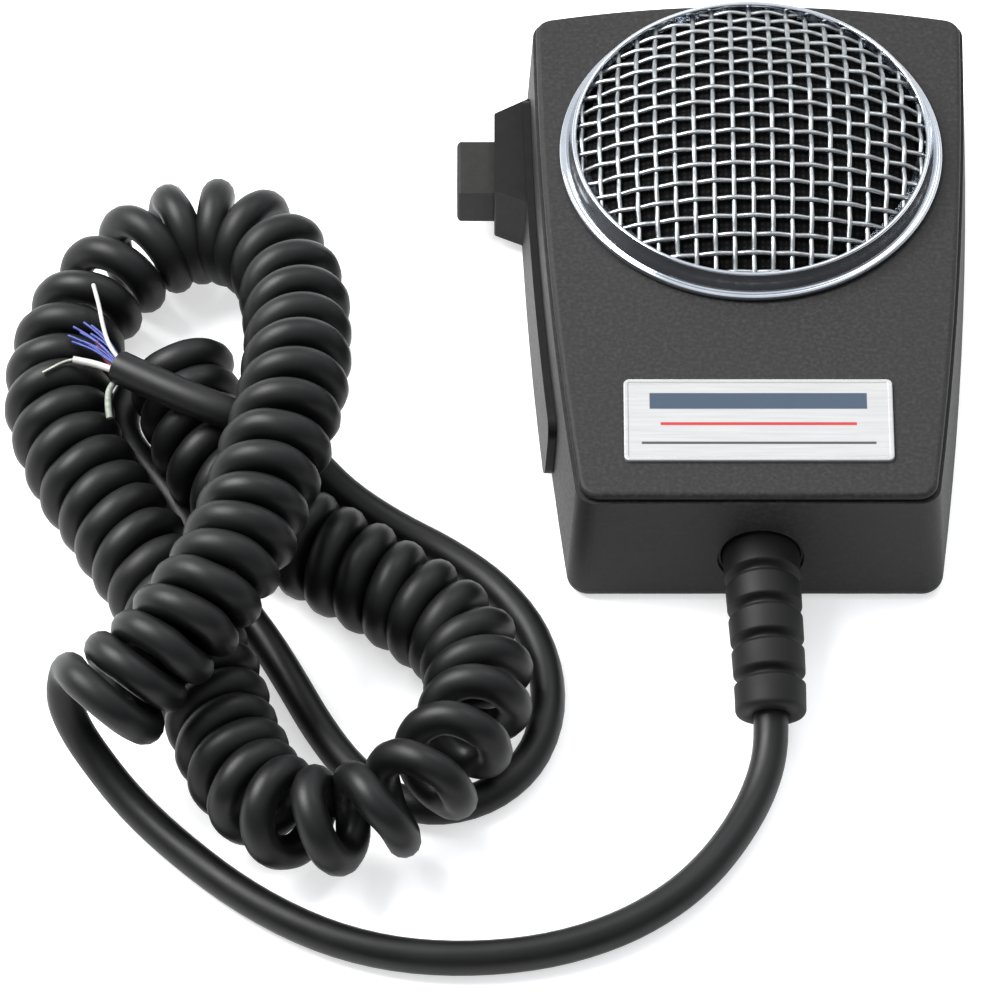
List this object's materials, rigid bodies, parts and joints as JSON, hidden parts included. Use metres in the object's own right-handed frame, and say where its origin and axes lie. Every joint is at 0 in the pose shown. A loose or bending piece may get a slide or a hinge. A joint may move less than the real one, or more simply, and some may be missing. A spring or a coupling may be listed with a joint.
{
  "type": "hand microphone",
  "caption": "Hand microphone with a domed wire-mesh grille, a push-to-talk button in its side and a curly cord that ends in stripped wires.",
  "frame": {"origin": "centre of the case's flat back, on its middle plane, halfway between its two ends", "axes": "+Z out of the back towards the grille, +Y along the case towards the grille end, +X to the right seen from the front, away from the push-to-talk button"},
  "size_m": [0.1568, 0.1784, 0.0387],
  "materials": {
    "case_paint": "fine speckled satin paint",
    "bezel_chrome": "polished",
    "mesh_wire": "bright drawn wire",
    "grille_cloth": "black woven acoustic cloth",
    "zinc_steel": "zinc plated",
    "screw_steel": "plated",
    "name_plate": "satin silver face",
    "brass": "turned",
    "ptt_plastic": "fine moulded texture",
    "button_plastic": "fine moulded texture",
    "spring_steel": "drawn wire",
    "phenolic": "brown laminate",
    "leaf_bronze": "spring bronze",
    "cartridge_aluminium": "pressed",
    "foam": "open foam",
    "circuit_board": "green resist",
    "component_black": "moulded",
    "resistor_beige": "lacquered",
    "trimmer_blue": "moulded",
    "trimmer_white": "moulded",
    "battery_case": "plain wrap",
    "hookup_wire": "extruded insulation",
    "cord_rubber": "satin extruded jacket",
    "wire_white": "extruded insulation",
    "wire_tinned": "tinned strands",
    "wire_blue": "extruded insulation",
    "wire_screen": "twisted screen strands",
    "wire_red": "extruded insulation"
  },
  "bodies": {
    "case": {"rear_case": "case_paint", "front_cover": "case_paint", "grille_bezel": "bezel_chrome", "grille_mesh": "mesh_wire", "grille_cloth": "grille_cloth", "grille_retainer": "zinc_steel", "name_plate": "name_plate", "hang_button_insert": "brass", "case_screws": "screw_steel", "ptt_side_plate": "ptt_plastic", "ptt_plate_clips": "zinc_steel", "ptt_spring": "spring_steel", "switch_frame": "zinc_steel", "switch_frame_screws": "screw_steel", "switch_insulators": "phenolic", "switch_leaf_root": "leaf_bronze", "switch_fixed_leaf": "leaf_bronze", "switch_stack_screws": "screw_steel", "element_housing": "cartridge_aluminium", "element_diaphragm": "cartridge_aluminium", "element_cap": "cartridge_aluminium", "element_gasket": "foam", "element_lugs": "brass", "element_terminal_board": "phenolic", "element_bracket": "zinc_steel", "element_screws": "screw_steel", "amplifier_board": "circuit_board", "board_screws": "screw_steel", "capacitors": "component_black", "resistors": "resistor_beige", "transistor": "component_black", "gain_trimmer_body": "trimmer_blue", "battery": "battery_case", "battery_snap": "component_black", "battery_wires": "hookup_wire", "battery_foam": "foam", "inner_wires": "hookup_wire", "cord_boot": "cord_rubber", "cord_clamp": "zinc_steel", "cord_clamp_screws": "screw_steel", "cord_lead": "cord_rubber", "cord_coil": "cord_rubber", "cord_tail": "cord_rubber", "wire_white_long": "wire_white", "wire_white_short": "wire_white", "wire_bare_strand": "wire_tinned", "wire_blue": "wire_blue", "wire_screen": "wire_screen", "wire_red": "wire_red"},
    "button": {"ptt_button": "button_plastic"},
    "leaf": {"switch_moving_leaf": "leaf_bronze"},
    "trimmer": {"gain_trimmer_rotor": "trimmer_white"}
  },
  "joints": [
    {"name": "ptt_press", "type": "slide", "parent": "case", "child": "button", "axis": [1, 0, 0], "range_m": [0, 0.0025], "stiffness_N_per_m": 900, "springref_m": -0.001, "deforming": ["ptt_spring"]},
    {"name": "leaf_bend", "type": "hinge", "parent": "case", "child": "leaf", "pos_m": [-0.0278, 0.0056, 0.00875], "axis": [0, 0, -1], "range_deg": [0, 6.6]},
    {"name": "gain_turn", "type": "hinge", "parent": "case", "child": "trimmer", "pos_m": [0.0208, 0.0195, 0.0095], "axis": [0, 0, 1], "range_deg": [-130, 130]}
  ],
  "couplings": [
    {"joint": "leaf_bend", "follows": "ptt_press", "rad_per_m": 45.25}
  ]
}
